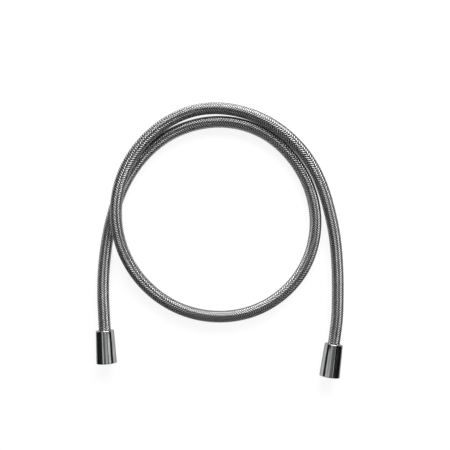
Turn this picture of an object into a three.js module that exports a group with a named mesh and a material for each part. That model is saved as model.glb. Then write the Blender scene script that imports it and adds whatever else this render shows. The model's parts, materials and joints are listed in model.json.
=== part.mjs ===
// Shower hose, 1.5 m: a braided metal cover over a rubber tube, with a cone nut at each end.
// Millimetres, +Z up. The hose lies in a loose loop on the plane z = 0, and its free ends,
// one for the tap and one for the handset, point towards -Y.

import * as THREE from 'three';
import { NURBSCurve } from 'three/addons/curves/NURBSCurve.js';

// Clearances
const FITTED_GAP = 0.3;
const RUNNING_GAP = 0.35;

// Hose
const HOSE_DIAMETER = 14.3;
const SHEATH_WALL = 0.75;
const TUBE_WALL = 1.25;
const HOSE_SIDES = 12;
const HOSE_STEPS = 68;

// Nipple, a turned insert whose barbed stem grips the rubber tube
const FLANGE_THICKNESS = 2.0;
const STEM_WALL = 0.75;
const STEM_END_MARGIN = 1.2;
const BARB_COUNT = 4;
const BARB_HEIGHT = 0.35;
const BARB_CREST = 0.3;
const BORE_CHAMFER = 0.4;

// Ferrule, a sleeve crimped over the end of the hose
const FERRULE_LENGTH = 16.6;
const FERRULE_WALL = 0.5;
const FERRULE_LIP = 0.8;
const CRIMP_COUNT = 3;
const CRIMP_WIDTH = 1.6;
const CRIMP_DEPTH = 0.2;

// Cone nut with a G 1/2 female thread, drawn at its minor diameter
const THREAD_MINOR_DIAMETER = 18.63;
const SOCKET_DEPTH = 9.5;
const SOCKET_LEAD = 1.0;
const MOUTH_WALL = 2.7;
const REAR_WALL = 2.3;
const REAR_LIP = 3.0;
const FERRULE_END_ROOM = 4.0;
const MOUTH_EDGE_RADIUS = 0.8;
const REAR_EDGE_RADIUS = 1.5;
const EDGE_STEPS = 4;
const NUT_SIDES = 40;

// Sealing washer and slip ring, one on each side of the nipple's flange
const WASHER_THICKNESS = 2.0;
const WASHER_HOLE_DIAMETER = 11.0;
const SLIP_RING_THICKNESS = 1.0;
const RING_SIDES = 32;

// Where each mouth lies in plan, and which way it points, in degrees from -Y towards +X
const TAP_END = { x: -134.2, y: -145.5, heading: 3.5 };
const HANDSET_END = { x: 129.4, y: -161.4, heading: -8.0 };

// Route between the straight ends: x, y and height, as a share of the crossing height
const STRAIGHT_END_LENGTH = 55.0;
const STRAIGHT_END_POINTS = 5;
const CROSSING_GAP = 0.8;
const ROUTE = [
  [-139, -64, 0.08],
  [-139, -41, 0.02],
  [-137, -19, 0.0],
  [-134, 3, 0.0],
  [-129, 27, 0.0],
  [-117, 65, 0.0],
  [-93, 101, 0.0],
  [-62, 127, 0.0],
  [-23, 141, 0.0],
  [17, 142, 0.0],
  [56, 128, 0.0],
  [86, 101, 0.0],
  [107, 66, 0.0],
  [116, 26, 0.0],
  [110, -16, 0.0],
  [90, -52, 0.0],
  [57, -79, 0.0],
  [18, -92, 0.0],
  [-24, -91, 0.0],
  [-62, -77, 0.0],
  [-94, -51, 0.03],
  [-116, -15, 0.36],
  [-124, 26, 0.95],
  [-119, 68, 1.08],
  [-100, 107, 0.84],
  [-68, 139, 0.48],
  [-26, 158, 0.28],
  [20, 156, 0.33],
  [62, 139, 0.53],
  [97, 109, 0.52],
  [120, 71, 0.4],
  [132, 28, 0.14],
  [137, 2, 0.02],
  [139, -20, 0.0],
  [140, -41, 0.02],
  [140, -62, 0.06],
];

// Radius of a regular polygon's corners when its flats must clear a round of the given radius
function cornersAround(radius, sides) {
  return radius / Math.cos(Math.PI / sides);
}

// Radius of the largest round that fits inside a regular polygon with the given corners
function flatsInside(radius, sides) {
  return radius * Math.cos(Math.PI / sides);
}

// Radii of the layers, each taken from the one that it fits
const sheathOuter = HOSE_DIAMETER / 2;
const sheathInner = sheathOuter - SHEATH_WALL;
const tubeOuter = sheathInner - cornersAround(FITTED_GAP, HOSE_SIDES);
const tubeInner = tubeOuter - TUBE_WALL;
const barbRadius = flatsInside(tubeInner, HOSE_SIDES) - FITTED_GAP;
const stemRadius = barbRadius - BARB_HEIGHT;
const stemBore = stemRadius - STEM_WALL;
const stemHole = cornersAround(barbRadius + FITTED_GAP, RING_SIDES);
const ferruleInner = cornersAround(sheathOuter + FITTED_GAP, RING_SIDES);
const ferruleOuter = ferruleInner + FERRULE_WALL;
const nutBore = cornersAround(ferruleOuter + RUNNING_GAP, NUT_SIDES);
const rearHole = cornersAround(sheathOuter + RUNNING_GAP, NUT_SIDES);
const rearRadius = nutBore + REAR_WALL;
const threadRadius = THREAD_MINOR_DIAMETER / 2;
const mouthRadius = threadRadius + MOUTH_WALL;
const flangeRadius = flatsInside(threadRadius, NUT_SIDES) - FITTED_GAP;

// Stations along a fitting's axis, measured from the mouth towards the hose
const washerFace = SOCKET_DEPTH;
const flangeFace = washerFace + WASHER_THICKNESS + FITTED_GAP;
const slipRingFace = flangeFace + FLANGE_THICKNESS + FITTED_GAP;
const shoulder = slipRingFace + SLIP_RING_THICKNESS + FITTED_GAP;
const hoseEnd = shoulder + FERRULE_LIP + FITTED_GAP;
const ferruleEnd = shoulder + FERRULE_LENGTH;
const rearLipFace = ferruleEnd + FERRULE_END_ROOM;
const nutLength = rearLipFace + REAR_LIP;

// The nut rests on its cone, so its axis leans by the cone's own slope
const coneSlope = Math.atan((mouthRadius - rearRadius) / nutLength);
const mouthHeight = mouthRadius * Math.cos(coneSlope);

const chrome = new THREE.MeshStandardMaterial({ color: 0xc4c6c8, metalness: 1.0, roughness: 0.16 });
const steel = new THREE.MeshStandardMaterial({ color: 0xa9abad, metalness: 1.0, roughness: 0.3 });
const brass = new THREE.MeshStandardMaterial({ color: 0xb5924c, metalness: 1.0, roughness: 0.35 });
const rubber = new THREE.MeshStandardMaterial({ color: 0x1d1d1e, metalness: 0.0, roughness: 0.85 });
const tubing = new THREE.MeshStandardMaterial({ color: 0x3a3a3c, metalness: 0.0, roughness: 0.7 });
const acetal = new THREE.MeshStandardMaterial({ color: 0xe6e4de, metalness: 0.0, roughness: 0.5 });

function namedMesh(name, geometry, material) {
  const mesh = new THREE.Mesh(geometry, material);
  mesh.name = name;
  return mesh;
}

// A body turned about its Y axis from a closed outline of [radius, station] pairs
function turned(name, outline, sides, material) {
  const points = outline.map(([radius, station]) => new THREE.Vector2(radius, station));
  points.push(points[0].clone());
  return namedMesh(name, new THREE.LatheGeometry(points, sides), material);
}

// Points of a round about a centre, from one angle to another, in degrees
function roundedCorner(centreRadius, centreStation, radius, fromAngle, toAngle) {
  const corner = [];
  for (let step = 0; step <= EDGE_STEPS; step += 1) {
    const share = step / EDGE_STEPS;
    const angle = THREE.MathUtils.degToRad(fromAngle + (toAngle - fromAngle) * share);
    corner.push([
      centreRadius + radius * Math.cos(angle),
      centreStation + radius * Math.sin(angle),
    ]);
  }
  return corner;
}

function coneNut(name) {
  const mouthEdge = Math.min(MOUTH_EDGE_RADIUS, MOUTH_WALL * 0.3);
  const rearEdge = Math.min(REAR_EDGE_RADIUS, REAR_WALL * 0.5);
  const lead = Math.min(SOCKET_LEAD, MOUTH_WALL * 0.4);
  const slope = THREE.MathUtils.radToDeg(coneSlope);
  const alongCone = (station) => mouthRadius - station * Math.tan(coneSlope);
  const insetAtMouth = mouthEdge / Math.cos(coneSlope);
  const insetAtRear = rearEdge / Math.cos(coneSlope);
  const outline = [
    [threadRadius + lead, 0],
    ...roundedCorner(alongCone(mouthEdge) - insetAtMouth, mouthEdge, mouthEdge, -90, slope),
    ...roundedCorner(
      alongCone(nutLength - rearEdge) - insetAtRear,
      nutLength - rearEdge,
      rearEdge,
      slope,
      90,
    ),
    [rearHole, nutLength],
    [rearHole, rearLipFace],
    [nutBore, rearLipFace],
    [nutBore, shoulder],
    [threadRadius, shoulder],
    [threadRadius, lead],
  ];
  return turned(name, outline, NUT_SIDES, chrome);
}

function nipple(name) {
  const stemEnd = ferruleEnd - STEM_END_MARGIN;
  const barbedStart = hoseEnd + STEM_END_MARGIN;
  const barbPitch = (stemEnd - barbedStart) / BARB_COUNT;
  const outline = [
    [stemBore + BORE_CHAMFER, flangeFace],
    [flangeRadius, flangeFace],
    [flangeRadius, flangeFace + FLANGE_THICKNESS],
    [stemRadius, flangeFace + FLANGE_THICKNESS],
  ];
  for (let index = 0; index < BARB_COUNT; index += 1) {
    const start = barbedStart + index * barbPitch;
    outline.push([stemRadius, start]);
    outline.push([barbRadius, start]);
    outline.push([barbRadius, start + BARB_CREST]);
  }
  outline.push([stemRadius, stemEnd]);
  outline.push([stemBore, stemEnd]);
  outline.push([stemBore, flangeFace + BORE_CHAMFER]);
  return turned(name, outline, RING_SIDES, brass);
}

function ferrule(name) {
  const crimpPitch = (FERRULE_LENGTH - FERRULE_LIP) / (CRIMP_COUNT + 1);
  const edge = FERRULE_WALL * 0.5;
  const outline = [
    [stemHole, shoulder],
    [ferruleOuter - edge, shoulder],
    [ferruleOuter, shoulder + edge],
  ];
  for (let index = 1; index <= CRIMP_COUNT; index += 1) {
    const centre = shoulder + FERRULE_LIP + index * crimpPitch;
    outline.push([ferruleOuter, centre - CRIMP_WIDTH / 2]);
    outline.push([ferruleOuter - CRIMP_DEPTH, centre]);
    outline.push([ferruleOuter, centre + CRIMP_WIDTH / 2]);
  }
  outline.push([ferruleOuter, ferruleEnd]);
  outline.push([ferruleInner, ferruleEnd]);
  outline.push([ferruleInner, shoulder + FERRULE_LIP]);
  outline.push([stemHole, shoulder + FERRULE_LIP]);
  return turned(name, outline, RING_SIDES, steel);
}

function flatRing(name, holeRadius, station, thickness, material) {
  const outline = [
    [holeRadius, station],
    [flangeRadius, station],
    [flangeRadius, station + thickness],
    [holeRadius, station + thickness],
  ];
  return turned(name, outline, RING_SIDES, material);
}

// Directions of a fitting: along its axis into the hose, and square to it, nearest to up
function fittingAxes(end) {
  const heading = THREE.MathUtils.degToRad(end.heading);
  const inward = new THREE.Vector3(
    -Math.sin(heading) * Math.cos(coneSlope),
    Math.cos(heading) * Math.cos(coneSlope),
    -Math.sin(coneSlope),
  );
  const up = new THREE.Vector3(0, 0, 1);
  up.addScaledVector(inward, -up.dot(inward)).normalize();
  const across = new THREE.Vector3().crossVectors(inward, up);
  return { inward, up, across };
}

function mouthCentre(end) {
  return new THREE.Vector3(end.x, end.y, mouthHeight);
}

// The turned pieces of one end, placed on its axis
function endFitting(prefix, end) {
  const axes = fittingAxes(end);
  const group = new THREE.Group();
  group.name = `${prefix}_end`;
  group.position.copy(mouthCentre(end));
  const basis = new THREE.Matrix4().makeBasis(axes.across, axes.inward, axes.up);
  group.quaternion.setFromRotationMatrix(basis);
  group.add(coneNut(`${prefix}_cone_nut`));
  group.add(
    flatRing(
      `${prefix}_sealing_washer`,
      WASHER_HOLE_DIAMETER / 2,
      washerFace,
      WASHER_THICKNESS,
      rubber,
    ),
  );
  group.add(nipple(`${prefix}_nipple`));
  group.add(
    flatRing(`${prefix}_slip_ring`, stemHole, slipRingFace, SLIP_RING_THICKNESS, acetal),
  );
  group.add(ferrule(`${prefix}_ferrule`));
  return group;
}

// Control points of the straight run inside and behind a fitting
function straightRun(end) {
  const { inward } = fittingAxes(end);
  const points = [];
  for (let index = 0; index < STRAIGHT_END_POINTS; index += 1) {
    const share = index / (STRAIGHT_END_POINTS - 1);
    const station = hoseEnd + share * STRAIGHT_END_LENGTH;
    points.push(mouthCentre(end).addScaledVector(inward, station));
  }
  return points;
}

// Smooth centreline from the tap end to the handset end
function hoseCentreline() {
  const restingHeight = HOSE_DIAMETER / 2;
  const crossingHeight = HOSE_DIAMETER + CROSSING_GAP;
  const free = ROUTE.map(
    ([x, y, share]) => new THREE.Vector3(x, y, restingHeight + share * crossingHeight),
  );
  const points = [...straightRun(TAP_END), ...free, ...straightRun(HANDSET_END).reverse()];
  const degree = 3;
  const knots = [];
  for (let index = 0; index < points.length + degree + 1; index += 1) {
    const inner = Math.min(Math.max(index - degree, 0), points.length - degree);
    knots.push(inner);
  }
  const weighted = points.map((point) => new THREE.Vector4(point.x, point.y, point.z, 1));
  const curve = new NURBSCurve(degree, knots, weighted);
  curve.arcLengthDivisions = 3000;
  return curve;
}

function polygonPath(path, radius) {
  for (let index = 0; index < HOSE_SIDES; index += 1) {
    const angle = (index / HOSE_SIDES) * Math.PI * 2;
    const x = radius * Math.cos(angle);
    const y = radius * Math.sin(angle);
    if (index === 0) {
      path.moveTo(x, y);
    } else {
      path.lineTo(x, y);
    }
  }
  path.closePath();
  return path;
}

// A layer of the hose: a hollow polygon carried along the centreline
function hoseLayer(name, outerRadius, innerRadius, centreline, material) {
  const section = polygonPath(new THREE.Shape(), outerRadius);
  section.holes.push(polygonPath(new THREE.Path(), innerRadius));
  const geometry = new THREE.ExtrudeGeometry(section, {
    steps: HOSE_STEPS,
    extrudePath: centreline,
    bevelEnabled: false,
  });
  return namedMesh(name, geometry, material);
}

const showerHose = new THREE.Group();
showerHose.name = 'shower_hose';

const centreline = hoseCentreline();
showerHose.add(hoseLayer('braided_sheath', sheathOuter, sheathInner, centreline, steel));
showerHose.add(hoseLayer('inner_tube', tubeOuter, tubeInner, centreline, tubing));
showerHose.add(endFitting('tap', TAP_END));
showerHose.add(endFitting('handset', HANDSET_END));

export default showerHose;
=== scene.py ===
"""Looks of a 1.5 m shower hose: a woven steel cover over a rubber tube, with a chromed cone nut,
a washer, a nipple, a slip ring and a ferrule at each end. Metres, +Z up, lying on z = 0."""

import json
import logging
import math
from collections.abc import Callable
from dataclasses import dataclass, field
from enum import Enum

import bpy
import numpy as np
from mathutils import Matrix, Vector


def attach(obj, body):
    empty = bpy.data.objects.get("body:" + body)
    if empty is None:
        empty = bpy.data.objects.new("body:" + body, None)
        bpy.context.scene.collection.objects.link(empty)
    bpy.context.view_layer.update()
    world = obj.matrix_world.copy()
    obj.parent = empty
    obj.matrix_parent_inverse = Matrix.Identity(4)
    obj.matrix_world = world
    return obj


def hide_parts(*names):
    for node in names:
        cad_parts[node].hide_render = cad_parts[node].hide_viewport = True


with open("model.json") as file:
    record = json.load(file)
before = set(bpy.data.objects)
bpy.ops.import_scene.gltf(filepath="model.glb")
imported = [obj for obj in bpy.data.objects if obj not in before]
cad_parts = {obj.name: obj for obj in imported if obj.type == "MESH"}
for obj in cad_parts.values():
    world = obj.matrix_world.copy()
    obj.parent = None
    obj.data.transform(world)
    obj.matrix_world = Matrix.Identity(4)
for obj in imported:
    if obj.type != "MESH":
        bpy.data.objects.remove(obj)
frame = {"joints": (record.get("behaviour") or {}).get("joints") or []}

LOG = logging.getLogger("shower_hose")
MM = 0.001

Colour = tuple[float, float, float]
Triple = tuple[float, float, float]
Pair = tuple[float, float]
Outline = list[Pair]
Samples = tuple[np.ndarray, np.ndarray, np.ndarray, np.ndarray]
Object = bpy.types.Object
Socket = bpy.types.NodeSocket


class End(Enum):
    """The two ends of the hose, by the fitting that each one screws on."""

    TAP = "tap"
    HANDSET = "handset"


class Hand(Enum):
    """Which way a strand winds round the hose, seen along its route."""

    RIGHT = 1
    LEFT = -1


class Slot(Enum):
    """The finishes of the record, by name."""

    BRAID = "steel_braid"
    CHROME = "chrome_nut"
    FERRULE = "ferrule_steel"
    BRASS = "brass"
    WASHER = "washer_rubber"
    TUBE = "inner_tube"
    ACETAL = "acetal"


# Sizes shared by the pieces, in millimetres, as in the solids
HOSE_RADIUS = 7.15
TUBE_OUTER_RADIUS = 6.089
TUBE_INNER_RADIUS = 4.839
HOSE_END_STATION = 16.5
STRAIGHT_END_LENGTH = 55.0
STRAIGHT_END_POINTS = 5
ROUTE_POINTS = 24000

# How much of its place a quad fills in a folded map, so that neighbours don't touch
MAP_FILL = 0.999
CROSSING_GAP = 0.8

# Route between the straight ends: x and y in metres, and height as a share of the crossing height
ROUTE = [
    (-0.139, -0.064, 0.08),
    (-0.139, -0.041, 0.02),
    (-0.137, -0.019, 0.0),
    (-0.134, 0.003, 0.0),
    (-0.129, 0.027, 0.0),
    (-0.117, 0.065, 0.0),
    (-0.093, 0.101, 0.0),
    (-0.062, 0.127, 0.0),
    (-0.023, 0.141, 0.0),
    (0.017, 0.142, 0.0),
    (0.056, 0.128, 0.0),
    (0.086, 0.101, 0.0),
    (0.107, 0.066, 0.0),
    (0.116, 0.026, 0.0),
    (0.110, -0.016, 0.0),
    (0.090, -0.052, 0.0),
    (0.057, -0.079, 0.0),
    (0.018, -0.092, 0.0),
    (-0.024, -0.091, 0.0),
    (-0.062, -0.077, 0.0),
    (-0.094, -0.051, 0.03),
    (-0.116, -0.015, 0.36),
    (-0.124, 0.026, 0.95),
    (-0.119, 0.068, 1.08),
    (-0.100, 0.107, 0.84),
    (-0.068, 0.139, 0.48),
    (-0.026, 0.158, 0.28),
    (0.020, 0.156, 0.33),
    (0.062, 0.139, 0.53),
    (0.097, 0.109, 0.52),
    (0.120, 0.071, 0.4),
    (0.132, 0.028, 0.14),
    (0.137, 0.002, 0.02),
    (0.139, -0.020, 0.0),
    (0.140, -0.041, 0.02),
    (0.140, -0.062, 0.06),
]


@dataclass(frozen=True)
class FittingAxis:
    """Where one end fitting sits: the centre of its mouth and the way from there into the hose."""

    mouth: Vector
    inward: Vector

    @classmethod
    def of(cls, end: End) -> "FittingAxis":
        """Reads the place of a fitting from the hinge of its nut.

        Args:
            end: Which end of the hose.

        Returns:
            The axis of that end's fitting.
        """
        spin = next(j for j in frame["joints"] if j["name"] == f"{end.value}_nut_spin")
        return cls(Vector(spin["pos_m"]), -Vector(spin["axis"]).normalized())

    @property
    def up(self) -> Vector:
        """The direction square to the axis that is nearest to straight up."""
        return (Vector((0, 0, 1)) - self.inward * self.inward.z).normalized()

    @property
    def across(self) -> Vector:
        """The direction square to both the axis and up."""
        return self.inward.cross(self.up)

    def at(self, station: float) -> Vector:
        """Gives a point on the axis.

        Args:
            station: Millimetres from the mouth into the hose.

        Returns:
            The point, in metres.
        """
        return self.mouth + self.inward * (station * MM)


@dataclass
class MeshDraft:
    """Points and quads with their maps, before they become an object."""

    name: str
    points: np.ndarray
    quads: np.ndarray
    caps: list[list[int]] = field(default_factory=list)
    corner_maps: dict[str, np.ndarray] = field(default_factory=dict)
    point_values: dict[str, np.ndarray] = field(default_factory=dict)

    def build(self, sharp_degrees: float = 35.0) -> Object:
        """Makes the object and links it to the scene.

        Args:
            sharp_degrees: Edges that turn by more than this stay sharp.

        Returns:
            The new object, with its points in the frame of the solids.
        """
        mesh = bpy.data.meshes.new(self.name)
        mesh.from_pydata(self.points.tolist(), [], self.quads.tolist() + self.caps)
        spare = sum(len(cap) for cap in self.caps)
        for map_name, corners in self.corner_maps.items():
            layer = mesh.uv_layers.new(name=map_name)
            padded = np.vstack([corners, np.zeros((spare, 2))])
            layer.uv.foreach_set("vector", padded.astype(np.float32).ravel())
        for value_name, values in self.point_values.items():
            layer = mesh.attributes.new(value_name, "FLOAT", "POINT")
            layer.data.foreach_set("value", values.astype(np.float32).ravel())
        mesh.shade_smooth()
        mesh.set_sharp_from_angle(angle=math.radians(sharp_degrees))
        mesh.update()
        made = bpy.data.objects.new(self.name, mesh)
        bpy.context.scene.collection.objects.link(made)
        return made


def ring_quads(rings: int, sides: int, closed: bool = False) -> np.ndarray:
    """Joins rings of points into quads.

    Args:
        rings: How many rings there are.
        sides: How many points a ring has.
        closed: Whether the last ring joins the first.

    Returns:
        The point numbers of each quad, with the faces out.
    """
    row = np.arange(rings if closed else rings - 1)[:, None] * sides
    next_row = (row + sides) % (rings * sides)
    near = np.arange(sides)[None, :]
    far = (near + 1) % sides
    return np.stack([row + near, next_row + near, next_row + far, row + far], 2).reshape(-1, 4)


def corner_rows(corners: list[tuple[np.ndarray, np.ndarray]]) -> np.ndarray:
    """Lines up the corners of quads for a map.

    Args:
        corners: The two coordinates of each corner in turn, as arrays over the quads.

    Returns:
        One row for each corner of each quad.
    """
    return np.stack([np.stack(place, -1) for place in corners], -2).reshape(-1, 2)


class HoseRoute:
    """The centreline of the hose, sampled evenly from the tap end to the handset end."""

    def __init__(self) -> None:
        """Draws the curve once, closely enough for every piece that follows it."""
        dense = self._spline(self._control_points(), ROUTE_POINTS)
        steps = np.linalg.norm(np.diff(dense, axis=0), axis=1)
        self._reach = np.concatenate([[0.0], np.cumsum(steps)])
        self._dense = dense
        self.length = float(self._reach[-1])

    @staticmethod
    def _straight_run(end: End) -> list[Vector]:
        """Gives the control points of the straight hose inside and behind a fitting.

        Args:
            end: Which end of the hose.

        Returns:
            Points in metres, from the end of the hose inwards.
        """
        axis = FittingAxis.of(end)
        pitch = STRAIGHT_END_LENGTH / (STRAIGHT_END_POINTS - 1)
        return [axis.at(HOSE_END_STATION + pitch * n) for n in range(STRAIGHT_END_POINTS)]

    def _control_points(self) -> np.ndarray:
        """Gives all control points of the curve.

        Returns:
            The points in metres, one row each, from the tap end to the handset end.
        """
        crossing = (2 * HOSE_RADIUS + CROSSING_GAP) * MM
        free = [(x, y, HOSE_RADIUS * MM + share * crossing) for x, y, share in ROUTE]
        tap, handset = self._straight_run(End.TAP), self._straight_run(End.HANDSET)
        return np.array([*[tuple(p) for p in tap], *free, *[tuple(p) for p in reversed(handset)]])

    @staticmethod
    def _spline(control: np.ndarray, count: int) -> np.ndarray:
        """Evaluates a clamped uniform cubic spline.

        Args:
            control: Control points, one row each.
            count: How many points to give.

        Returns:
            Points along the curve, one row each.
        """
        last = len(control) - 3
        knots = np.concatenate([np.zeros(3), np.arange(last + 1), np.full(3, last)])
        at = np.linspace(0.0, last - 1e-9, count)
        span = np.minimum(at.astype(int), last - 1) + 3
        points = [control[span - 3 + k].copy() for k in range(4)]
        for level in range(1, 4):
            for k in range(3, level - 1, -1):
                low = knots[span - 3 + k]
                high = knots[span + 1 + k - level]
                share = ((at - low) / (high - low))[:, None]
                points[k] = (1 - share) * points[k - 1] + share * points[k]
        return points[3]

    def sample(self, count: int) -> Samples:
        """Samples the curve at even distances.

        Args:
            count: How many points to give, the ends included.

        Returns:
            Centres, directions, the ways nearest to up and the ways to the right, one row each.
        """
        along = np.linspace(0.0, self.length, count)
        centres = self._between(self._dense, along)
        slopes = np.gradient(self._dense, self._reach, axis=0)
        ahead = self._unit(self._between(slopes, along))
        up = self._unit(np.array([0.0, 0.0, 1.0]) - ahead * ahead[:, 2:3])
        return centres, ahead, up, np.cross(ahead, up)

    def _between(self, rows: np.ndarray, along: np.ndarray) -> np.ndarray:
        """Interpolates rows of the dense curve.

        Args:
            rows: One row for each dense point.
            along: Distances from the tap end, in metres.

        Returns:
            One row for each distance.
        """
        return np.stack([np.interp(along, self._reach, rows[:, k]) for k in range(3)], axis=1)

    @staticmethod
    def _unit(rows: np.ndarray) -> np.ndarray:
        """Scales each row to length one."""
        return rows / np.linalg.norm(rows, axis=1, keepdims=True)


class NodeBench:
    """Wires the nodes of one material."""

    def __init__(self, name: str) -> None:
        """Starts a material with a Principled shader on its output.

        Args:
            name: The name of the material.
        """
        self.material = bpy.data.materials.new(name)
        self.material.use_nodes = True
        self.tree = self.material.node_tree
        self.shader = self.tree.nodes["Principled BSDF"]

    def node(self, kind: str, **settings: object) -> bpy.types.Node:
        """Adds a node.

        Args:
            kind: The node's type, without the leading ShaderNode.
            **settings: Properties of the node to set.

        Returns:
            The new node.
        """
        made = self.tree.nodes.new(f"ShaderNode{kind}")
        for key, value in settings.items():
            setattr(made, key, value)
        return made

    def link(self, source: Socket, target: Socket) -> None:
        """Joins an output to an input."""
        self.tree.links.new(source, target)

    def set_plain(self, **values: object) -> None:
        """Sets plain numbers and colours on the shader's own sockets.

        Args:
            **values: Socket names with underscores for spaces, and their values.
        """
        for key, value in values.items():
            self.shader.inputs[key.replace("_", " ")].default_value = value

    def place(self, map_name: str, scale: Triple) -> Socket:
        """Reads a map of the piece and stretches it.

        Args:
            map_name: The name of the map on the mesh.
            scale: How much to multiply each coordinate by.

        Returns:
            The socket with the stretched place.
        """
        read = self.node("UVMap", uv_map=map_name)
        stretch = self.node("Mapping")
        stretch.inputs["Scale"].default_value = scale
        self.link(read.outputs["UV"], stretch.inputs["Vector"])
        return stretch.outputs["Vector"]

    def noise(
        self, map_name: str, scale: Triple, detail: float = 3.0, rough: float = 0.5
    ) -> Socket:
        """Adds a noise pattern.

        Args:
            map_name: The name of the map on the mesh to read it at.
            scale: How fine it is, each way.
            detail: How many octaves it has.
            rough: How strong the fine octaves are.

        Returns:
            The socket with the pattern, from 0 to 1.
        """
        made = self.node("TexNoise")
        made.inputs["Scale"].default_value = 1.0
        made.inputs["Detail"].default_value = detail
        made.inputs["Roughness"].default_value = rough
        self.link(self.place(map_name, scale), made.inputs["Vector"])
        return made.outputs["Fac"]

    def spread(self, value: Socket, inside: Pair, outside: Pair = (0.0, 1.0)) -> Socket:
        """Maps a range of numbers to another, and clamps it.

        Args:
            value: The number to map.
            inside: The range that it comes from.
            outside: The range that it goes to.

        Returns:
            The socket with the mapped number.
        """
        made = self.node("MapRange", interpolation_type="SMOOTHSTEP")
        made.inputs["From Min"].default_value, made.inputs["From Max"].default_value = inside
        made.inputs["To Min"].default_value, made.inputs["To Max"].default_value = outside
        self.link(value, made.inputs["Value"])
        return made.outputs["Result"]

    def maths(self, operation: str, first: Socket, second: Socket | float = 0.0) -> Socket:
        """Adds a sum on numbers.

        Args:
            operation: The name of the sum.
            first: Its first number.
            second: Its second number, if it has one.

        Returns:
            The socket with the result.
        """
        made = self.node("Math", operation=operation)
        self.link(first, made.inputs[0])
        if isinstance(second, Socket):
            self.link(second, made.inputs[1])
        else:
            made.inputs[1].default_value = second
        return made.outputs[0]

    def blend(self, share: Socket, low: Colour | Socket, high: Colour | Socket) -> Socket:
        """Mixes two colours.

        Args:
            share: How much of the second colour shows.
            low: The colour at 0.
            high: The colour at 1.

        Returns:
            The socket with the mixed colour.
        """
        made = self.node("Mix", data_type="RGBA")
        self.link(share, made.inputs[0])
        for colour, socket in ((low, made.inputs[6]), (high, made.inputs[7])):
            if isinstance(colour, Socket):
                self.link(colour, socket)
            else:
                socket.default_value = (*colour, 1.0)
        return made.outputs[2]

    def relief(self, height: Socket, depth: float) -> None:
        """Gives the shader a raised pattern.

        Args:
            height: The pattern, from 0 to 1.
            depth: How high 1 stands, in metres.
        """
        bump = self.node("Bump")
        bump.inputs["Strength"].default_value = 1.0
        bump.inputs["Distance"].default_value = depth
        self.link(height, bump.inputs["Height"])
        self.link(bump.outputs["Normal"], self.shader.inputs["Normal"])

    def paint(self, colour: Socket, rough: Socket) -> None:
        """Links a colour and a roughness to the shader."""
        self.link(colour, self.shader.inputs["Base Color"])
        self.link(rough, self.shader.inputs["Roughness"])


@dataclass(frozen=True)
class WovenSteel:
    """Bright drawn wires laid side by side, with painted shade, near black, where a strand dips
    under the others and in the grooves between its wires.
    """

    bright: Colour = (0.66, 0.66, 0.665)
    dull: Colour = (0.48, 0.48, 0.485)
    # Near black: the colour of the painted shade under crossing strands and in the grooves between
    # wires
    painted_shade: Colour = (0.004, 0.004, 0.004)
    edge_tint: Colour = (0.35, 0.35, 0.35)
    stretch: float = 0.88
    roughness: Pair = (0.34, 0.42)
    streak_scale: Triple = (8.0, 0.35, 1.0)
    patch_scale: Triple = (1.0, 0.02, 1.0)
    # The lift over which a strand passes from painted shade, under the others, to its full colour
    lift_in_light: Pair = (0.38, 0.85)
    wires: float = 7.0
    # Painted shade in the grooves between wires: the range of the wire pattern that darkens, and
    # how much metal colour stays at a groove's bottom
    groove: Pair = (0.0, 0.3)
    groove_light: float = 0.3
    wire_relief: float = 0.000014
    nick_scale: Triple = (20.0, 3.0, 1.0)
    nick_share: float = 0.12

    def material(self) -> bpy.types.Material:
        """Wires the finish.

        Returns:
            The material of the woven cover.
        """
        bench = NodeBench("woven_steel")
        bench.set_plain(
            Metallic=1.0, Anisotropic=self.stretch, Specular_Tint=(*self.edge_tint, 1.0)
        )
        across_way = bench.node("Tangent", direction_type="UV_MAP", uv_map="strand")
        bench.link(across_way.outputs[0], bench.shader.inputs["Tangent"])
        streaks = bench.noise("strand", self.streak_scale, 2.0)
        patches = bench.noise("strand", self.patch_scale)
        worn = bench.spread(bench.maths("ADD", streaks, patches), (0.7, 1.3))
        metal = bench.blend(worn, self.dull, self.bright)
        across = bench.node("SeparateXYZ")
        bench.link(bench.place("strand", (self.wires * math.pi, 1.0, 1.0)), across.inputs[0])
        round_wires = bench.maths("ABSOLUTE", bench.maths("SINE", across.outputs["X"]))
        # Painted shade in the grooves between the round wires: there the colour goes most of the
        # way to near black
        clear = bench.spread(round_wires, self.groove, (self.groove_light, 1.0))
        metal = bench.blend(clear, self.painted_shade, metal)
        # Painted shade: where the stored lift says a strand dips under the others, its colour goes
        # to near black
        lift = bench.node("Attribute", attribute_name="lift").outputs["Fac"]
        colour = bench.blend(bench.spread(lift, self.lift_in_light), self.painted_shade, metal)
        bench.paint(colour, bench.spread(streaks, (0.3, 0.7), self.roughness))
        nicks = bench.maths("MULTIPLY", bench.noise("strand", self.nick_scale), self.nick_share)
        bench.relief(bench.maths("ADD", round_wires, nicks), self.wire_relief)
        return bench.material


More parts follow.
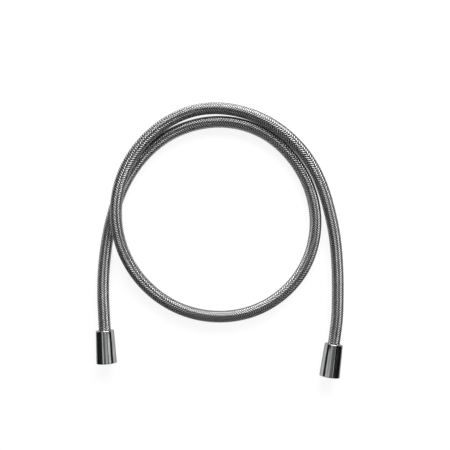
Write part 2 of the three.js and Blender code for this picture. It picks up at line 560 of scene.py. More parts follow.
@dataclass(frozen=True)
class ChromePlate:
    """Chrome over polished brass, with the faint lengthwise lines of the polishing wheel."""

    pale: Colour = (0.46, 0.465, 0.47)
    deep: Colour = (0.30, 0.302, 0.306)
    edge_tint: Colour = (0.35, 0.35, 0.35)
    roughness: Pair = (0.07, 0.15)
    line_scale: Triple = (900.0, 14.0, 1.0)
    line_depth: float = 0.000004
    haze_scale: Triple = (160.0, 60.0, 1.0)

    def material(self) -> bpy.types.Material:
        """Wires the finish.

        Returns:
            The material of the cone nuts.
        """
        bench = NodeBench("chrome_plate")
        bench.set_plain(Metallic=1.0, Specular_Tint=(*self.edge_tint, 1.0))
        lines = bench.noise("turning", self.line_scale, 4.0, 0.6)
        haze = bench.noise("turning", self.haze_scale)
        both = bench.maths("MULTIPLY", lines, bench.maths("ADD", haze, 0.5))
        colour = bench.blend(bench.spread(both, (0.36, 0.62)), self.deep, self.pale)
        bench.paint(colour, bench.spread(both, (0.35, 0.65), self.roughness))
        bench.relief(lines, self.line_depth)
        return bench.material


@dataclass(frozen=True)
class TurnedMetal:
    """Metal with the fine rings that a lathe tool leaves, and a little tarnish."""

    name: str
    clean: Colour
    tarnished: Colour
    roughness: Pair
    ring_scale: Triple = (12.0, 6000.0, 1.0)
    ring_depth: float = 0.000006
    stain_scale: Triple = (220.0, 220.0, 1.0)
    ring_share: float = 0.6
    stain_share: float = 0.4

    def material(self) -> bpy.types.Material:
        """Wires the finish.

        Returns:
            The material of a turned or pressed piece.
        """
        bench = NodeBench(self.name)
        bench.set_plain(Metallic=1.0)
        rings = bench.noise("turning", self.ring_scale, 3.0, 0.6)
        stain = bench.noise("turning", self.stain_scale, 5.0, 0.6)
        colour = bench.blend(bench.spread(stain, (0.4, 0.62)), self.clean, self.tarnished)
        wear = bench.maths(
            "ADD",
            bench.maths("MULTIPLY", rings, self.ring_share),
            bench.maths("MULTIPLY", stain, self.stain_share),
        )
        bench.paint(colour, bench.spread(wear, (0.35, 0.65), self.roughness))
        bench.relief(rings, self.ring_depth)
        return bench.material


@dataclass(frozen=True)
class MouldedStuff:
    """Rubber or plastic from a mould or a die, with a fine skin and slight clouding."""

    name: str
    base: Colour
    clouded: Colour
    roughness: Pair
    map_name: str
    skin_scale: float
    skin_depth: float
    cloud_share: float = 0.08

    def material(self) -> bpy.types.Material:
        """Wires the finish.

        Returns:
            The material of a rubber or plastic piece.
        """
        bench = NodeBench(self.name)
        bench.set_plain(Metallic=0.0, IOR=1.5)
        wide = self.skin_scale * self.cloud_share
        cloud = bench.noise(self.map_name, (wide, wide, 1.0), 4.0, 0.55)
        skin = bench.noise(self.map_name, (self.skin_scale, self.skin_scale, 1.0), 3.0, 0.6)
        colour = bench.blend(bench.spread(cloud, (0.35, 0.65)), self.base, self.clouded)
        bench.paint(colour, bench.spread(skin, (0.3, 0.7), self.roughness))
        bench.relief(skin, self.skin_depth)
        return bench.material


class Finishes:
    """One material of each finish, made when a piece first asks for it."""

    def __init__(self) -> None:
        """Lists the finishes by the record's names."""
        self._kinds: dict[Slot, WovenSteel | ChromePlate | TurnedMetal | MouldedStuff] = {
            Slot.BRAID: WovenSteel(),
            Slot.CHROME: ChromePlate(),
            Slot.FERRULE: TurnedMetal(
                "pressed_steel", (0.62, 0.63, 0.64), (0.42, 0.42, 0.43), (0.2, 0.42)
            ),
            Slot.BRASS: TurnedMetal(
                "turned_brass", (0.80, 0.62, 0.31), (0.55, 0.41, 0.2), (0.18, 0.4)
            ),
            Slot.WASHER: MouldedStuff(
                "washer_rubber",
                (0.022, 0.022, 0.023),
                (0.05, 0.05, 0.052),
                (0.55, 0.85),
                "turning",
                9000.0,
                0.00002,
            ),
            Slot.TUBE: MouldedStuff(
                "tube_rubber",
                (0.035, 0.035, 0.037),
                (0.065, 0.065, 0.068),
                (0.45, 0.7),
                "tube",
                4000.0,
                0.000015,
            ),
            Slot.ACETAL: MouldedStuff(
                "acetal",
                (0.86, 0.85, 0.81),
                (0.78, 0.77, 0.72),
                (0.35, 0.55),
                "turning",
                6000.0,
                0.00001,
            ),
        }
        self._made: dict[Slot, bpy.types.Material] = {}

    def dress(self, piece: Object, slot: Slot) -> None:
        """Puts a finish on a piece.

        Args:
            piece: The piece to dress.
            slot: The finish to put on it.
        """
        if slot not in self._made:
            self._made[slot] = self._kinds[slot].material()
        piece.data.materials.clear()
        piece.data.materials.append(self._made[slot])


def settle(piece: Object, body: str, node: str) -> Object:
    """Rides a piece on its body, hides the solid that it replaces and reports it.

    Args:
        piece: The piece.
        body: The body that it moves with.
        node: The solid that it stands for.

    Returns:
        The same piece.
    """
    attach(piece, body)
    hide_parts(node)
    LOG.info("%s: %d faces, on %s", piece.name, len(piece.data.polygons), body)
    return piece


@dataclass
class WovenCover:
    """The woven steel cover: 24 flat strands, each over two and under two of the others."""

    carriers_each_way: int = 12
    turns: int = 43
    steps_per_turn: int = 48
    strands_per_piece: int = 4
    strand_width: float = 1.12
    width_spread: float = 0.015
    strand_crown: float = 0.3
    mid_radius: float = 6.64
    wave_height: float = 0.19
    wave_flatness: float = 3.2
    phase_degrees: float = 22.5
    twist_degrees: tuple[float, ...] = (7.0, 3.0, -3.0, -7.0, -5.0, 2.0, 8.0, 4.0)
    drift_degrees: float = 0.7
    drift_marks: int = 260
    seed: int = 7
    map_rows: int = 48
    map_margin: float = 0.06
    map_gap: float = 977.0
    section: tuple[Pair, ...] = (
        (-0.5, 0.0),
        (-0.3, 0.72),
        (0.0, 1.0),
        (0.3, 0.72),
        (0.5, 0.0),
    )
    pieces: list[Object] = field(default_factory=list)

    def build(self, route: HoseRoute) -> None:
        """Weaves all strands, a few to a piece.

        Args:
            route: The centreline of the hose.
        """
        samples = route.sample(self.turns * self.steps_per_turn + 1)
        chance = np.random.default_rng(self.seed)
        for hand in Hand:
            for first in range(0, self.carriers_each_way, self.strands_per_piece):
                group = range(first, first + self.strands_per_piece)
                number = first // self.strands_per_piece + 1
                name = f"strands_{hand.name.lower()}_{number}"
                draft = self._draft(name, hand, group, samples, chance)
                self.pieces.append(settle(draft.build(), "hose", "braided_sheath"))

    def dress(self, finishes: Finishes) -> None:
        """Puts the woven steel on every piece."""
        for piece in self.pieces:
            finishes.dress(piece, Slot.BRAID)

    def _centre(
        self, hand: Hand, index: int, samples: Samples, chance: np.random.Generator
    ) -> tuple[np.ndarray, np.ndarray, np.ndarray]:
        """Follows the middle of one strand.

        Args:
            hand: Which way it winds.
            index: Its number among the strands of its hand.
            samples: The sampled centreline.
            chance: The source of the small unevenness.

        Returns:
            Its points, the outward directions there and its lift from 0, under, to 1, over.
        """
        centres, _, up, right = samples
        count = len(centres)
        step = np.arange(count)
        turned = step * (360.0 / self.steps_per_turn)
        spacing = 360.0 / self.carriers_each_way
        angle = hand.value * turned + spacing * index + self.phase_degrees
        met = (angle + hand.value * turned - self.phase_degrees) / spacing
        wave = np.cos(np.radians((index + met - 0.5) * 90.0)) * hand.value
        lift = np.tanh(self.wave_flatness * wave) / math.tanh(self.wave_flatness)
        drifts = chance.normal(0.0, self.drift_degrees, self.drift_marks)
        drift = np.interp(step, np.linspace(0, count, self.drift_marks), drifts)
        marks = np.linspace(0, count, len(self.twist_degrees))
        twist = np.interp(step, marks, self.twist_degrees)
        around = np.radians(angle + drift + twist)[:, None]
        outward = np.cos(around) * up + np.sin(around) * right
        radius = (self.mid_radius + self.wave_height * lift)[:, None] * MM
        return centres + outward * radius, outward, lift * 0.5 + 0.5

    def _draft(
        self,
        name: str,
        hand: Hand,
        group: range,
        samples: Samples,
        chance: np.random.Generator,
    ) -> MeshDraft:
        """Lays the section of a strand along several strands.

        Args:
            name: The name of the piece.
            hand: Which way its strands wind.
            group: The numbers of its strands.
            samples: The sampled centreline.
            chance: The source of the small unevenness.

        Returns:
            The draft of the piece.
        """
        section = np.array(self.section)
        ring = len(section)
        points, lifts, quads, caps, reach = [], [], [], [], []
        for order, index in enumerate(group):
            middle, outward, lift = self._centre(hand, index, samples, chance)
            ahead = np.gradient(middle, axis=0)
            step = np.linalg.norm(ahead, axis=1, keepdims=True)
            ahead /= step
            out = outward - ahead * np.sum(outward * ahead, axis=1, keepdims=True)
            out /= np.linalg.norm(out, axis=1, keepdims=True)
            side = np.cross(ahead, out)
            width = self.strand_width * MM * (1 + chance.normal(0.0, self.width_spread))
            wide = side[:, None, :] * (section[None, :, :1] * width)
            high = out[:, None, :] * (section[None, :, 1:] * self.strand_crown * MM)
            base = order * len(middle) * ring
            points.append((middle[:, None, :] + wide + high).reshape(-1, 3))
            lifts.append(np.repeat(lift, ring))
            reach.append(np.cumsum(step[:, 0]) / MM)
            quads.append(ring_quads(len(middle), ring) + base)
            last = base + (len(middle) - 1) * ring
            caps.append([base + k for k in range(ring)])
            caps.append([last + k for k in reversed(range(ring))])
        draft = MeshDraft(name, np.vstack(points), np.vstack(quads), caps)
        draft.point_values["lift"] = np.concatenate(lifts)
        draft.corner_maps["OFBake"] = self._folded_map(len(group), len(samples[0]) - 1, ring)
        draft.corner_maps["strand"] = self._strand_map(reach, ring)
        return draft

    def _strand_map(self, reach: list[np.ndarray], ring: int) -> np.ndarray:
        """Maps each corner by its place across and along its strand.

        Args:
            reach: For each strand, the distance along it at each ring, in millimetres.
            ring: How many points a ring has.

        Returns:
            One row for each corner.
        """
        across = np.array([x + 0.5 for x, _ in self.section] + [2.0])
        rows = []
        for order, along in enumerate(reach):
            start = along[:-1, None] + order * self.map_gap
            end = along[1:, None] + order * self.map_gap
            near = np.broadcast_to(across[None, :ring], (len(along) - 1, ring))
            far = np.broadcast_to(across[None, 1 : ring + 1], near.shape)
            low, high = np.broadcast_to(start, near.shape), np.broadcast_to(end, near.shape)
            rows.append(corner_rows([(near, low), (near, high), (far, high), (far, low)]))
        return np.vstack(rows)

    def _folded_map(self, strands: int, steps: int, ring: int) -> np.ndarray:
        """Folds the strands' surface into rows that fill a square.

        Args:
            strands: How many strands the piece has.
            steps: How many steps each has.
            ring: How many quads go round each.

        Returns:
            One row for each corner, from 0 to 1.
        """
        total = strands * steps
        per_row = math.ceil(total / self.map_rows)
        place = np.arange(total)
        row = (place // per_row)[:, None]
        left = (place % per_row)[:, None] / per_row
        right = left + MAP_FILL / per_row
        inside = 1 - 2 * self.map_margin
        ring_at = self.map_margin + inside * np.arange(ring + 1)[None, :] / ring
        low = (row + ring_at[:, :ring]) / self.map_rows
        high = (row + ring_at[:, 1:]) / self.map_rows
        left, right = np.broadcast_to(left, low.shape), np.broadcast_to(right, low.shape)
        return corner_rows([(left, low), (right, low), (right, high), (left, high)])


@dataclass
class RubberTube:
    """The tube under the cover that carries the water."""

    rings: int = 420
    sides: int = 28
    map_rows: int = 8
    piece: Object | None = None
    path: list[Triple] = field(default_factory=list)

    def build(self, route: HoseRoute) -> None:
        """Draws the hollow tube along the centreline.

        Args:
            route: The centreline of the hose.
        """
        centres, _, up, right = route.sample(self.rings)
        angle = np.linspace(0.0, 2 * math.pi, self.sides, endpoint=False)[None, :, None]
        way = np.cos(angle) * up[:, None, :] + np.sin(angle) * right[:, None, :]
        skins = [
            (centres[:, None, :] + way * radius * MM).reshape(-1, 3)
            for radius in (TUBE_OUTER_RADIUS, TUBE_INNER_RADIUS)
        ]
        wall = self.rings * self.sides
        outer = ring_quads(self.rings, self.sides)
        inner = outer[:, ::-1] + wall
        near = np.arange(self.sides)
        far = (near + 1) % self.sides
        first = np.stack([near, far, far + wall, near + wall], 1)
        end = wall - self.sides
        last = np.stack([near + end, near + end + wall, far + end + wall, far + end], 1)
        quads = np.vstack([outer, inner, first, last])
        draft = MeshDraft("rubber_tube", np.vstack(skins), quads)
        draft.corner_maps["OFBake"], draft.corner_maps["tube"] = self._maps(route.length)
        self.piece = settle(draft.build(60.0), "hose", "inner_tube")
        self.path = [tuple(centre) for centre in centres.tolist()]

    def _maps(self, length: float) -> tuple[np.ndarray, np.ndarray]:
        """Maps the tube's corners, once folded into a square and once in metres.

        Args:
            length: The length of the tube, in metres.

        Returns:
            The folded map and the map in metres, one row for each corner.
        """
        steps, sides, rows = self.rings - 1, self.sides, self.map_rows
        per_row = math.ceil(steps / rows)
        place = np.arange(steps)[:, None] + np.zeros((1, sides))
        around = np.zeros((steps, 1)) + np.arange(sides)[None, :]
        row, left = place // per_row, (place % per_row) / per_row
        right = left + MAP_FILL / per_row
        # Each skin folds into just under half of the square, and each end lies in a strip beside it
        folded, plain = [], []
        for skin, radius in enumerate((TUBE_OUTER_RADIUS, TUBE_INNER_RADIUS)):
            low = 0.48 * (row + 0.05 + 0.9 * around / sides) / rows + 0.5 * skin
            high = 0.48 * (row + 0.05 + 0.9 * (around + 1) / sides) / rows + 0.5 * skin
            girth = 2 * math.pi * radius * MM / sides
            at = place * length / steps
            after = at + length / steps
            corners = [(left, low), (right, low), (right, high), (left, high)]
            places = [
                (around * girth, at),
                (around * girth, after),
                ((around + 1) * girth, after),
                ((around + 1) * girth, at),
            ]
            if skin:
                corners.reverse()
                places.reverse()
            folded.append(corner_rows(corners))
            plain.append(corner_rows(places))
        near = np.arange(sides) / sides
        for offset in (0.0, 0.5):
            box = [(near, 0), (near + 0.9 / sides, 0), (near + 0.9 / sides, 1), (near, 1)]
            strip = corner_rows(
                [(x * 0.48 + offset, np.full(sides, 0.485 + 0.01 * y)) for x, y in box]
            )
            folded.append(strip)
            plain.append(strip * 0.04)
        return np.vstack(folded), np.vstack(plain)

    def dress(self, finishes: Finishes) -> None:
        """Puts the dark rubber on the tube."""
        finishes.dress(self.piece, Slot.TUBE)


def arc(centre: Pair, radius: float, start: float, stop: float, steps: int = 6) -> Outline:
    """Draws a rounded corner of an outline.

    Args:
        centre: Its centre, as a radius and a station.
        radius: Its own radius.
        start: The angle where it starts, in degrees from outwards towards the hose.
        stop: The angle where it ends.
        steps: How many steps it has.

    Returns:
        The points of the corner.
    """
    angles = [math.radians(start + (stop - start) * n / steps) for n in range(steps + 1)]
    return [(centre[0] + radius * math.cos(a), centre[1] + radius * math.sin(a)) for a in angles]


def turn_outline(
    name: str,
    axis: FittingAxis,
    outline: Outline,
    sides: int = 96,
    swell: Callable[[np.ndarray, np.ndarray], np.ndarray] | None = None,
) -> MeshDraft:
    """Turns a closed outline about a fitting's axis.

    Args:
        name: The name of the piece.
        axis: The axis to turn it about.
        outline: Radii and stations in millimetres, in order round the section.
        sides: How many steps go round.
        swell: Gives what to add to the radius for radii, stations and angles.

    Returns:
        The draft of the piece.
    """
    flat = np.array(outline)
    after = np.roll(flat, -1, axis=0)
    if np.sum(flat[:, 0] * after[:, 1] - after[:, 0] * flat[:, 1]) < 0:
        flat = flat[::-1]
        after = np.roll(flat, -1, axis=0)
    angle = np.linspace(0.0, 2 * math.pi, sides, endpoint=False)
    radius = np.repeat(flat[:, :1], sides, axis=1)
    if swell is not None:
        radius = radius + swell(flat, angle)
    across, up, inward = (np.array(v) for v in (axis.across, axis.up, axis.inward))
    way = np.cos(angle)[:, None] * across + np.sin(angle)[:, None] * up
    points = (
        np.array(axis.mouth)
        + way[None, :, :] * radius[:, :, None] * MM
        + inward * flat[:, None, 1:2] * MM
    )
    count = len(flat)
    run = np.concatenate([[0.0], np.cumsum(np.linalg.norm(after - flat, axis=1))])
    step = np.arange(sides)[None, :] + np.zeros((count, 1))
    low = run[:-1, None] + np.zeros((1, sides))
    high = run[1:, None] + np.zeros((1, sides))
    corners = [(step, low), (step, high), (step + 1, high), (step + 1, low)]
    girth = 2 * math.pi * float(flat[:, 0].max()) * MM / sides
    draft = MeshDraft(name, points.reshape(-1, 3), ring_quads(count, sides, closed=True))
    draft.corner_maps["OFBake"] = corner_rows(
        [(x * 0.998 / sides, y * 0.998 / run[-1]) for x, y in corners]
    )
    draft.corner_maps["turning"] = corner_rows([(x * girth, y * MM) for x, y in corners])
    return draft


@dataclass
class ConeNut:
    """The tapered nut of one end, with its female thread cut in the mouth."""

    end: End
    mouth_radius: float = 12.015
    rear_radius: float = 10.662
    length: float = 39.0
    thread_radius: float = 9.315
    thread_depth: float = 1.162
    thread_pitch: float = 1.814
    thread_from: float = 1.1
    thread_to: float = 9.1
    thread_margin: float = 0.2
    thread_steps: int = 72
    run_in: float = 0.7
    run_out: float = 0.9
    lead: float = 1.0
    shoulder: float = 15.4
    ferrule_room_radius: float = 8.362
    rear_lip_face: float = 36.0
    rear_hole_radius: float = 7.523
    mouth_edge: float = 0.8
    rear_edge: float = 1.5
    hole_edge: float = 0.35
    hole_chamfer: float = 0.2
    piece: Object | None = None

    def build(self, axis: FittingAxis) -> None:
        """Turns the nut and cuts its thread.

        Args:
            axis: The axis of its fitting.
        """
        slope = math.atan((self.mouth_radius - self.rear_radius) / self.length)
        tip = self.mouth_radius - self.mouth_edge * (math.tan(slope) + 1 / math.cos(slope))
        back_station = self.length - self.rear_edge
        back = self.mouth_radius - back_station * math.tan(slope)
        back -= self.rear_edge / math.cos(slope)
        lean = math.degrees(slope)
        hole = self.rear_hole_radius
        deepest = self.thread_to + self.thread_margin
        stations = np.linspace(deepest, self.lead, self.thread_steps).tolist()
        bore = [(self.thread_radius, station) for station in stations]
        outline = [
            (self.thread_radius + self.lead, 0.0),
            *arc((tip, self.mouth_edge), self.mouth_edge, -90.0, lean),
            *arc((back, back_station), self.rear_edge, lean, 90.0, 10),
            *arc((hole + self.hole_edge, self.length - self.hole_edge), self.hole_edge, 90, 180, 4),
            (hole, self.rear_lip_face + self.hole_chamfer),
            (hole + self.hole_chamfer, self.rear_lip_face),
            (self.ferrule_room_radius, self.rear_lip_face),
            (self.ferrule_room_radius, self.shoulder),
            (self.thread_radius, self.shoulder),
            *bore,
        ]
        draft = turn_outline(f"{self.end.value}_nut", axis, outline, 96, self._thread)
        node = f"{self.end.value}_cone_nut"
        self.piece = settle(draft.build(32.0), f"{self.end.value}_nut", node)

    def _thread(self, flat: np.ndarray, angle: np.ndarray) -> np.ndarray:
        """Gives the depth of the thread over the bore.

        Args:
            flat: Radii and stations of the outline.
            angle: Angles round the axis.

        Returns:
            What to add to each radius, one row for each point of the outline.
        """
        station = flat[:, 1]
        in_bore = np.abs(flat[:, 0] - self.thread_radius) < 1e-6
        fade_in = np.clip((station - self.thread_from) / self.run_in, 0.0, 1.0)
        fade_out = np.clip((self.thread_to - station) / self.run_out, 0.0, 1.0)
        turn = station[:, None] / self.thread_pitch + angle[None, :] / (2 * math.pi)
        groove = 0.5 - 0.5 * np.cos(2 * math.pi * turn)
        return self.thread_depth * groove * (fade_in * fade_out * in_bore)[:, None]

    def dress(self, finishes: Finishes) -> None:
        """Chromes the nut."""
        finishes.dress(self.piece, Slot.CHROME)


@dataclass
class FlatRing:
    """A washer or a slip ring, a flat ring with softened edges."""

    end: End
    kind: str
    slot: Slot
    body: str
    hole_radius: float
    station: float
    thickness: float
    outer_radius: float = 8.986
    edge: float = 0.2
    piece: Object | None = None

    def build(self, axis: FittingAxis) -> None:
        """Turns the ring.

        Args:
            axis: The axis of its fitting.
        """
        low, high = self.station + self.edge, self.station + self.thickness - self.edge
        inner, outer = self.hole_radius + self.edge, self.outer_radius - self.edge
        outline = [
            *arc((outer, low), self.edge, -90.0, 0.0, 3),
            *arc((outer, high), self.edge, 0.0, 90.0, 3),
            *arc((inner, high), self.edge, 90.0, 180.0, 3),
            *arc((inner, low), self.edge, 180.0, 270.0, 3),
        ]
        draft = turn_outline(f"{self.end.value}_{self.kind}_ring", axis, outline, 80)
        self.piece = settle(draft.build(50.0), self.body, f"{self.end.value}_{self.kind}")

    def dress(self, finishes: Finishes) -> None:
        """Puts the ring's own finish on it."""
        finishes.dress(self.piece, self.slot)


@dataclass
class BarbedNipple:
    """The turned insert: a flange that the nut pulls up, and a stem with barbs for the tube."""

    end: End
    bore_radius: float = 3.2745
    stem_radius: float = 4.0245
    barb_radius: float = 4.3745
    flange_radius: float = 8.986
    flange_face: float = 11.8
    flange_thickness: float = 2.0
    stem_end: float = 30.8
    barbs_from: float = 17.7
    barb_count: int = 4
    barb_crest: float = 0.3
    barb_edge: float = 0.08
    bore_edge: float = 0.5
    score_radii: Pair = (6.35, 7.55)
    score: float = 0.15
    root: float = 0.3
    edge: float = 0.25
    piece: Object | None = None

    def build(self, axis: FittingAxis) -> None:
        """Turns the nipple.

        Args:
            axis: The axis of its fitting.
        """
        back = self.flange_face + self.flange_thickness
        pitch = (self.stem_end - self.barbs_from) / self.barb_count
        face, rim = self.flange_face, self.flange_radius - self.edge
        bore = (self.bore_radius + self.bore_edge, face + self.bore_edge)
        outline = arc(bore, self.bore_edge, 180.0, 270.0, 4)
        for radius in self.score_radii:
            outline += [
                (radius - self.score, face),
                (radius, face + self.score),
                (radius + self.score, face),
            ]
        outline += [
            *arc((rim, face + self.edge), self.edge, -90.0, 0.0, 3),
            *arc((rim, back - self.edge), self.edge, 0.0, 90.0, 3),
            *arc((self.stem_radius + self.root, back + self.root), self.root, 270.0, 180.0, 3),
        ]
        for number in range(self.barb_count):
            start = self.barbs_from + number * pitch
            outline += [
                (self.stem_radius, start),
                (self.barb_radius - self.barb_edge, start),
                (self.barb_radius, start + self.barb_edge),
                (self.barb_radius, start + self.barb_crest),
            ]
        outline += [(self.stem_radius, self.stem_end), (self.bore_radius, self.stem_end)]
        draft = turn_outline(f"{self.end.value}_insert", axis, outline, 72)
        self.piece = settle(draft.build(32.0), "hose", f"{self.end.value}_nipple")

    def dress(self, finishes: Finishes) -> None:
        """Puts the turned brass on the nipple."""
        finishes.dress(self.piece, Slot.BRASS)


@dataclass
class CrimpedFerrule:
    """The steel sleeve that is crimped over the end of the cover."""

    end: End
    inner_radius: float = 7.486
    wall: float = 0.5
    hole_radius: float = 4.697
    shoulder: float = 15.4
    length: float = 16.6
    lip: float = 0.8
    crimp_count: int = 3
    crimp_width: float = 1.6
    crimp_depth: float = 0.2
    crimp_steps: int = 9
    front_edge: float = 0.4
    rear_edge: float = 0.15
    piece: Object | None = None

    def build(self, axis: FittingAxis) -> None:
        """Turns the ferrule, with its crimped grooves.

        Args:
            axis: The axis of its fitting.
        """
        outer = self.inner_radius + self.wall
        finish = self.shoulder + self.length
        pitch = (self.length - self.lip) / (self.crimp_count + 1)
        outline = [(self.hole_radius, self.shoulder)]
        front = (outer - self.front_edge, self.shoulder + self.front_edge)
        outline += arc(front, self.front_edge, -90.0, 0.0, 4)
        for number in range(1, self.crimp_count + 1):
            middle = self.shoulder + self.lip + number * pitch
            for share in np.linspace(-1.0, 1.0, self.crimp_steps).tolist():
                dip = self.crimp_depth * (0.5 + 0.5 * math.cos(math.pi * share))
                outline.append((outer - dip, middle + share * self.crimp_width / 2))
        rear = (outer - self.rear_edge, finish - self.rear_edge)
        outline += arc(rear, self.rear_edge, 0.0, 90.0, 3)
        outline += [
            (self.inner_radius, finish),
            (self.inner_radius, self.shoulder + self.lip),
            (self.hole_radius, self.shoulder + self.lip),
        ]
        draft = turn_outline(f"{self.end.value}_sleeve", axis, outline, 80)
        self.piece = settle(draft.build(32.0), "hose", f"{self.end.value}_ferrule")

    def dress(self, finishes: Finishes) -> None:
        """Puts the pressed steel on the ferrule."""
        finishes.dress(self.piece, Slot.FERRULE)


class EndFitting:
    """All pieces of one end, on one axis."""

    def __init__(self, end: End) -> None:
        """Lists the pieces, from the mouth towards the hose.

        Args:
            end: Which end of the hose.
        """
        nut_body = f"{end.value}_nut"
        self.axis = FittingAxis.of(end)
        self.parts: list[ConeNut | FlatRing | BarbedNipple | CrimpedFerrule] = [
            ConeNut(end),
            FlatRing(end, "sealing_washer", Slot.WASHER, nut_body, 5.5, 9.5, 2.0),
            BarbedNipple(end),
            FlatRing(end, "slip_ring", Slot.ACETAL, "hose", 4.697, 14.1, 1.0, edge=0.12),
            CrimpedFerrule(end),
        ]

    def build(self) -> None:
        """Turns every piece of the fitting."""
        for part in self.parts:
            part.build(self.axis)

    def dress(self, finishes: Finishes) -> None:
        """Puts its finish on every piece of the fitting."""
        for part in self.parts:
            part.dress(finishes)

    @property
    def pieces(self) -> list[Object]:
        """The objects of the fitting."""
        return [part.piece for part in self.parts]


@dataclass(frozen=True)
class Softbox:
    """A square lamp with an even face, seen in the metal and not by the camera."""

    name: str
    place: Triple
    aim: Triple
    width: float
    height: float
    radiance: float

    def hang(self) -> None:
        """Adds the lamp to the scene, at the strength that its face has."""
        lamp = bpy.data.lights.new(self.name, "AREA")
        lamp.shape = "RECTANGLE"
        lamp.size, lamp.size_y = self.width, self.height
        lamp.energy = self.radiance * math.pi * self.width * self.height
        made = bpy.data.objects.new(self.name, lamp)
        made.location = self.place
        way = Vector(self.aim) - Vector(self.place)
        made.rotation_euler = way.to_track_quat("-Z", "Y").to_euler()
        made.visible_camera = False
        bpy.context.scene.collection.objects.link(made)


@dataclass(frozen=True)
class Flag:
    """A black card beside the object, that only the metal sees."""

    name: str
    start: Pair
    stop: Pair
    height: float
    black: Colour = (0.012, 0.012, 0.012)

    def stand(self) -> None:
        """Stands the card on the floor, from one point to the other."""
        corners = [
            (*self.start, 0.0),
            (*self.stop, 0.0),
            (*self.stop, self.height),
            (*self.start, self.height),
        ]
        mesh = bpy.data.meshes.new(self.name)
        mesh.from_pydata(corners, [], [(0, 1, 2, 3)])
        bench = NodeBench(self.name)
        bench.set_plain(Roughness=1.0, Base_Color=(*self.black, 1.0))
        mesh.materials.append(bench.material)
        made = bpy.data.objects.new(self.name, mesh)
        made.visible_camera = False
        made.visible_diffuse = False
        made.visible_shadow = False
        bpy.context.scene.collection.objects.link(made)


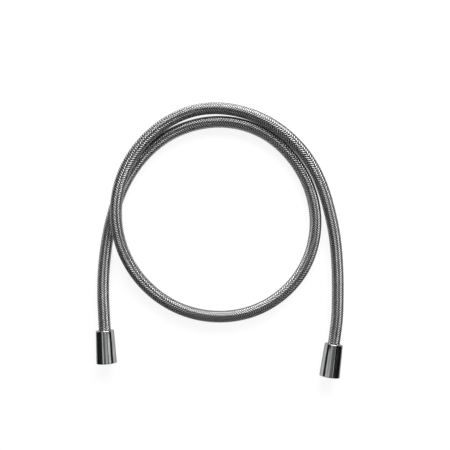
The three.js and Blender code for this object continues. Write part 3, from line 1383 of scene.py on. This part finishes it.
@dataclass
class Studio:
    """A white floor, soft lamps and a camera straight above the loop."""

    picture_width: float = 0.5355
    camera_height: float = 0.90
    camera_over: Pair = (0.00583, 0.01809)
    sensor_width: float = 36.0
    floor_reach: float = 9.0
    floor_sides: int = 64
    floor_height: float = -0.0002
    floor_grey: Colour = (0.20, 0.20, 0.20)
    floor_glow: float = 0.86
    glow_rise: Pair = (0.5, 1.6)
    lamps: tuple[Softbox, ...] = (
        Softbox("north_box", (0.25, 1.02, 0.54), (0.0, 0.0, 0.0), 1.45, 0.98, 6.6),
        Softbox("northwest_box", (-0.60, 0.80, 0.70), (0.0, 0.0, 0.0), 0.4, 0.8, 0.8),
        Softbox("east_box", (0.70, -0.22, 0.60), (-0.134, -0.14, 0.012), 0.42, 0.70, 1.1),
        Softbox("west_box", (-0.62, -0.22, 0.55), (0.129, -0.145, 0.012), 0.42, 0.60, 0.8),
        Softbox("top_box", (-0.04, -0.25, 0.36), (-0.04, -0.25, 0.0), 0.16, 0.38, 0.65),
    )
    cards: tuple[Flag, ...] = (
        Flag("east_card", (0.62, -0.62), (0.62, 0.75), 0.42),
        Flag("west_card", (-0.62, -0.62), (-0.62, 0.75), 0.42),
        Flag("south_card", (-0.62, -0.62), (0.62, -0.62), 0.42),
        Flag("tap_nut_card", (-0.176, -0.24), (-0.176, -0.105), 0.08),
        Flag("handset_nut_card", (0.171, -0.26), (0.171, -0.115), 0.10),
    )
    room: tuple[Pair, ...] = ((0.0, 1.0), (0.27, 1.0), (0.36, 0.07), (0.8, 0.08), (0.95, 0.22))

    def place_camera(self) -> None:
        """Looks straight down, with the picture's width at the height of the hose's axis."""
        camera = bpy.data.cameras.new("camera")
        away = self.camera_height - HOSE_RADIUS * MM
        camera.sensor_width = self.sensor_width
        camera.lens = self.sensor_width * away / self.picture_width
        camera.clip_start, camera.clip_end = 0.01, 50.0
        made = bpy.data.objects.new("camera", camera)
        made.location = (*self.camera_over, self.camera_height)
        bpy.context.scene.collection.objects.link(made)
        bpy.context.scene.camera = made

    def lay_floor(self) -> None:
        """Lays the white floor, which keeps the shadow of the hose."""
        count = self.floor_sides
        turns = [2 * math.pi * n / count for n in range(count)]
        reach = self.floor_reach
        ring = [(reach * math.cos(a), reach * math.sin(a), self.floor_height) for a in turns]
        mesh = bpy.data.meshes.new("floor")
        mesh.from_pydata(ring, [], [tuple(range(count))])
        mesh.materials.append(self._floor_material())
        made = bpy.data.objects.new("floor", mesh)
        bpy.context.scene.collection.objects.link(made)

    def _floor_material(self) -> bpy.types.Material:
        """Wires the floor: part glow for the camera and the metal, part plain white.

        Returns:
            The material of the floor.
        """
        bench = NodeBench("floor_white")
        tree = bench.tree
        tree.nodes.remove(bench.shader)
        out = tree.nodes["Material Output"]
        path = bench.node("LightPath")
        seen = bench.maths("MAXIMUM", path.outputs["Is Camera Ray"], path.outputs["Is Glossy Ray"])
        seen = bench.maths("MAXIMUM", seen, path.outputs["Is Transmission Ray"])
        glow = bench.node("Emission")
        away = bench.node("VectorMath", operation="LENGTH")
        bench.link(bench.node("NewGeometry").outputs["Position"], away.inputs[0])
        level = bench.spread(away.outputs["Value"], self.glow_rise, (self.floor_glow, 1.0))
        bench.link(bench.maths("MULTIPLY", seen, level), glow.inputs["Strength"])
        plain = bench.node("BsdfDiffuse")
        plain.inputs["Color"].default_value = (*self.floor_grey, 1.0)
        both = bench.node("AddShader")
        bench.link(glow.outputs[0], both.inputs[0])
        bench.link(plain.outputs[0], both.inputs[1])
        bench.link(both.outputs[0], out.inputs["Surface"])
        bench.material.cycles.emission_sampling = "NONE"
        return bench.material

    def light(self) -> None:
        """Hangs the lamps and stands the black cards."""
        for lamp in self.lamps:
            lamp.hang()
        for card in self.cards:
            card.stand()

    def fill_world(self) -> None:
        """Makes the room: pale at the horizon, dim higher up and grey overhead."""
        world = bpy.data.worlds.new("room")
        bpy.context.scene.world = world
        world.use_nodes = True
        world.cycles.sampling_method = "NONE"
        tree = world.node_tree
        place = tree.nodes.new("ShaderNodeTexCoord")
        parts = tree.nodes.new("ShaderNodeSeparateXYZ")
        ramp = tree.nodes.new("ShaderNodeValToRGB")
        tree.links.new(place.outputs["Generated"], parts.inputs[0])
        tree.links.new(parts.outputs["Z"], ramp.inputs["Fac"])
        tree.links.new(ramp.outputs["Color"], tree.nodes["Background"].inputs["Color"])
        steps = ramp.color_ramp.elements
        while len(steps) < len(self.room):
            steps.new(0.5)
        for element, (position, level) in zip(steps, self.room, strict=True):
            element.position = position
            element.color = (level, level, level, 1.0)

    def build(self) -> None:
        """Sets up the whole studio."""
        self.lay_floor()
        self.light()
        self.fill_world()
        bpy.context.scene.view_settings.view_transform = "Standard"


def main() -> None:
    """Builds the hose and its studio, in order, and reports each piece."""
    logging.basicConfig(level=logging.INFO, format="%(name)s: %(message)s")
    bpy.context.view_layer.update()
    studio = Studio()
    studio.place_camera()
    route = HoseRoute()
    LOG.info("route: %.4f m", route.length)
    tube = RubberTube()
    tube.build(route)
    cover = WovenCover()
    cover.build(route)
    fittings = [EndFitting(end) for end in End]
    for fitting in fittings:
        fitting.build()
    finishes = Finishes()
    tube.dress(finishes)
    cover.dress(finishes)
    for fitting in fittings:
        fitting.dress(finishes)
    studio.build()


if __name__ == "__main__":
    main()
